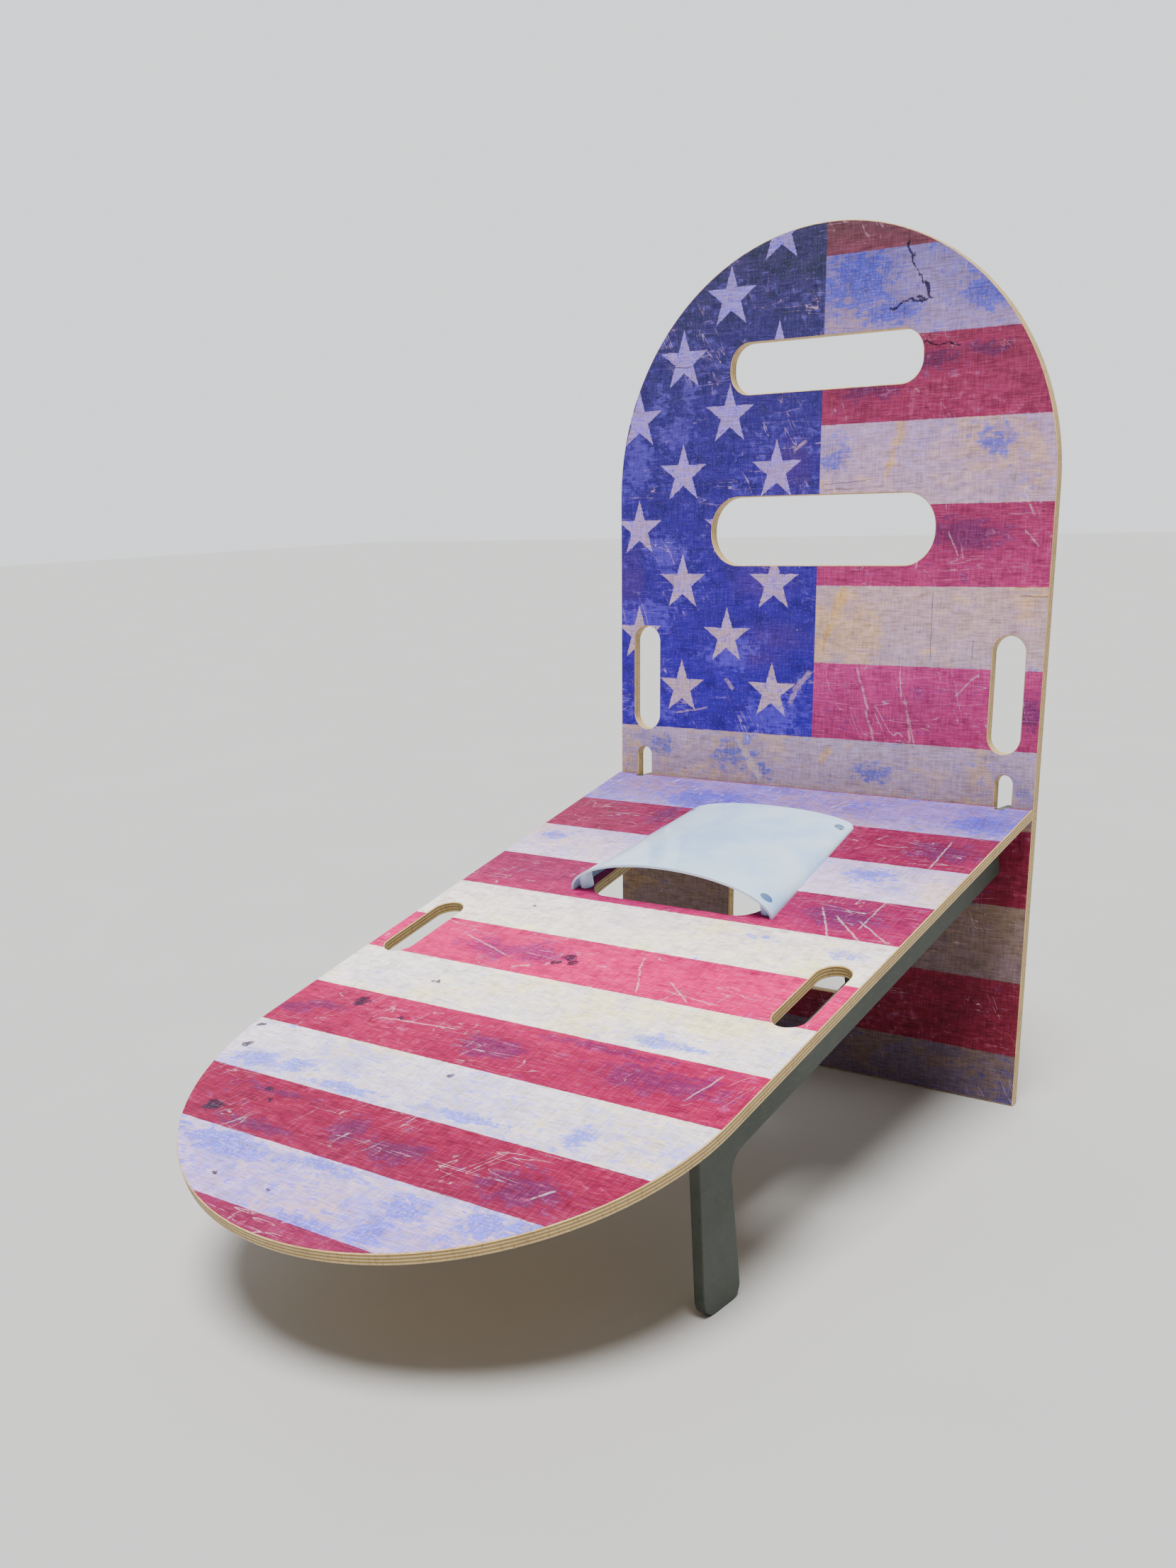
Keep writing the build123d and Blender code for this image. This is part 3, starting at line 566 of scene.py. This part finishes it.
def frame_paint():
    """Dark grey-green paint, brushed along the plywood and rubbed thin in places."""
    g = Graph("grey_green_paint_on_plywood")
    x, y, z = g.xyz()
    brush = g.noise(g.vector(x, y * 0.2, z * 0.6), 320, 4, 0.6)
    blotch = g.noise(g.vector(x, y, z), 9, 4, 0.6, 0.4)
    speckle = g.noise(g.vector(x, y, z), 240, 3, 0.7)
    color = g.mix(g.step(blotch, 0.35, 0.65), "#3a4039", "#474d47")
    color = g.mix(g.step(brush, 0.45, 0.7) * 0.35, color, "#54574a")
    color = g.mix(g.step(speckle, 0.66, 0.76) * 0.5, color, "#6c6850")
    g.bump(brush + speckle * 0.5, 0.0003, 0.35)
    g.finish(color, 0.5 + (blotch - 0.5) * 0.25, 0.25)
    return g.material


def hood_plastic():
    """Glossy moulded plastic with faint haze, dust and rubbed scratches."""
    g = Graph("glossy_bluish_white_plastic")
    x, y, z = g.xyz()
    haze = g.noise(g.vector(x, y, z), 16, 4, 0.55, 0.3)
    dust = g.noise(g.vector(x, y, z), 900, 2, 0.6)
    rub = g.noise(g.vector(x * 4, y * 0.3, z), 90, 3, 0.6)
    color = g.mix(g.step(haze, 0.35, 0.68), "#cbe8ff", "#aed6ff")
    color = g.mix(g.step(dust, 0.66, 0.74) * 0.3, color, "#b4cbe2")
    hair = g.step(g.math("ABSOLUTE", rub - 0.5), 0.008, 0.002) * g.step(haze, 0.45, 0.6)
    color = g.mix(hair * 0.4, color, "#eef5fb")
    g.bump(haze * 2.0 + rub * 0.1, 0.0008, 0.25)
    g.finish(color, 0.16 + (rub - 0.5) * 0.12 + hair * 0.2, 0.6)
    g.put(g.shader.inputs["Coat Weight"], 0.3)
    g.put(g.shader.inputs["Coat Roughness"], 0.08)
    return g.material


def zinc(name, light, dark, scale):
    """Zinc-plated steel: spangled plating, fine brush marks and a few brown stains."""
    g = Graph(name)
    x, y, z = g.xyz()
    point = g.vector(x, y, z)
    spangle = g.cells(point, scale)
    marks = g.noise(g.vector(x, y * 0.15, z), 1400, 3, 0.6)
    stain = g.noise(point, 70, 4, 0.65)
    color = g.mix(g.step(spangle, 0.2, 0.7), light, dark)
    color = g.mix(g.step(stain, 0.55, 0.75) * 0.45, color, "#7a6a55")
    g.bump(marks, 0.00015, 0.4)
    g.finish(color, 0.34 + (marks - 0.5) * 0.25 + g.step(stain, 0.5, 0.8) * 0.25, 0.5, 0.95)
    return g.material


slot_materials = {
    "back_print": back_print(),
    "play_print": play_print(),
    "frame_paint": frame_paint(),
    "hood_plastic": hood_plastic(),
    "hinge_steel": zinc("zinc_plated_hinges", "#c6c5be", "#97958c", 420),
    "fastener_steel": zinc("zinc_plated_fasteners", "#cfcfca", "#8f8e88", 900),
}
board_plywood = {
    "back_board": plywood("back_board_plywood", BACK_FOOT, BACK_UP, BACK_OUT),
    "playing_board": plywood("playing_board_plywood", JUNCTION, PLAY_FRONT, PLAY_OUT),
}
for part in frame["record"]["subparts"]:
    node = frame["nodes"][part["node"]]
    material = board_plywood.get(part["node"]) or slot_materials[part["material_slot"]]
    for place in node.material_slots:
        place.material = material


# ---------------------------------------------------------------- floor, light and camera
FLOOR_SIZE = 40
SUN_STRENGTH = 6.6
SUN_TOWARD = (0.12, -0.22, 1)
SUN_SPREAD = 25                  # degrees, so that shadows are soft
SKY_DIM = 0.24
SKY_BRIGHT = 1.4
SKY_COLOR = (0.95, 0.97, 1.0, 1)
SUN_COLOR = (1.0, 0.985, 0.96)
CAMERA_PLACE = (0.9964, -1.31135, 0.75828)
CAMERA_AZIMUTH = radians(37.236)
CAMERA_HEIGHT = radians(18.547)
CAMERA_ROLL = radians(-2.008)
CAMERA_LENS = 35.63
CAMERA_SENSOR = 36
CAMERA_SHIFT = (-0.0085, 0.145)


def floor_material():
    g = Graph("pale_studio_floor")
    x, y = g.xyz()[:2]
    tone = g.noise(g.vector(x, y), 3, 3)
    g.finish(g.mix(tone, "#b4b4b4", "#bcbcbc"), 0.9, 0.1)
    return g.material


bpy.ops.mesh.primitive_plane_add(size=FLOOR_SIZE, location=(0, 0, 0))
floor = bpy.context.object
floor.name = "studio_floor"
floor.data.materials.append(floor_material())


def studio_world():
    """Dim all round, with a bright backdrop on the far side of the object."""
    world = bpy.data.worlds.new("studio")
    bpy.context.scene.world = world
    world.use_nodes = True
    nodes, links = world.node_tree.nodes, world.node_tree.links
    direction = nodes.new("ShaderNodeTexCoord").outputs["Generated"]
    toward = nodes.new("ShaderNodeVectorMath")
    toward.operation = "DOT_PRODUCT"
    toward.inputs[1].default_value = (-sin(CAMERA_AZIMUTH), cos(CAMERA_AZIMUTH), 0)
    links.new(direction, toward.inputs[0])
    spread = nodes.new("ShaderNodeMapRange")
    spread.interpolation_type = "SMOOTHSTEP"
    for socket, value in (("From Min", 0.1), ("From Max", 0.75),
                          ("To Min", SKY_DIM), ("To Max", SKY_BRIGHT)):
        spread.inputs[socket].default_value = value
    links.new(toward.outputs["Value"], spread.inputs["Value"])
    sky = nodes["Background"]
    sky.inputs["Color"].default_value = SKY_COLOR
    links.new(spread.outputs[0], sky.inputs["Strength"])


def soft_sun():
    """One large soft light, so far away that the floor is lit evenly."""
    data = bpy.data.lights.new("key", "SUN")
    data.energy = SUN_STRENGTH
    data.angle = radians(SUN_SPREAD)
    data.color = SUN_COLOR
    lamp = bpy.data.objects.new("key", data)
    lamp.rotation_euler = Vector(SUN_TOWARD).to_track_quat("Z", "Y").to_euler()
    bpy.context.collection.objects.link(lamp)


def photo_camera():
    """The camera, turned and shifted to frame the object as the photograph does."""
    backward = Vector((sin(CAMERA_AZIMUTH) * cos(CAMERA_HEIGHT),
                       -cos(CAMERA_AZIMUTH) * cos(CAMERA_HEIGHT), sin(CAMERA_HEIGHT)))
    level_right = Vector((cos(CAMERA_AZIMUTH), sin(CAMERA_AZIMUTH), 0))
    level_up = backward.cross(level_right)
    right = level_right * cos(CAMERA_ROLL) + level_up * sin(CAMERA_ROLL)
    up = level_up * cos(CAMERA_ROLL) - level_right * sin(CAMERA_ROLL)
    turn = Matrix((right, up, backward)).transposed().to_4x4()
    data = bpy.data.cameras.new("camera")
    data.lens = CAMERA_LENS
    data.sensor_width = CAMERA_SENSOR
    data.shift_x, data.shift_y = CAMERA_SHIFT
    camera = bpy.data.objects.new("camera", data)
    camera.matrix_world = Matrix.Translation(CAMERA_PLACE) @ turn
    bpy.context.collection.objects.link(camera)
    bpy.context.scene.camera = camera


soft_sun()
studio_world()
photo_camera()
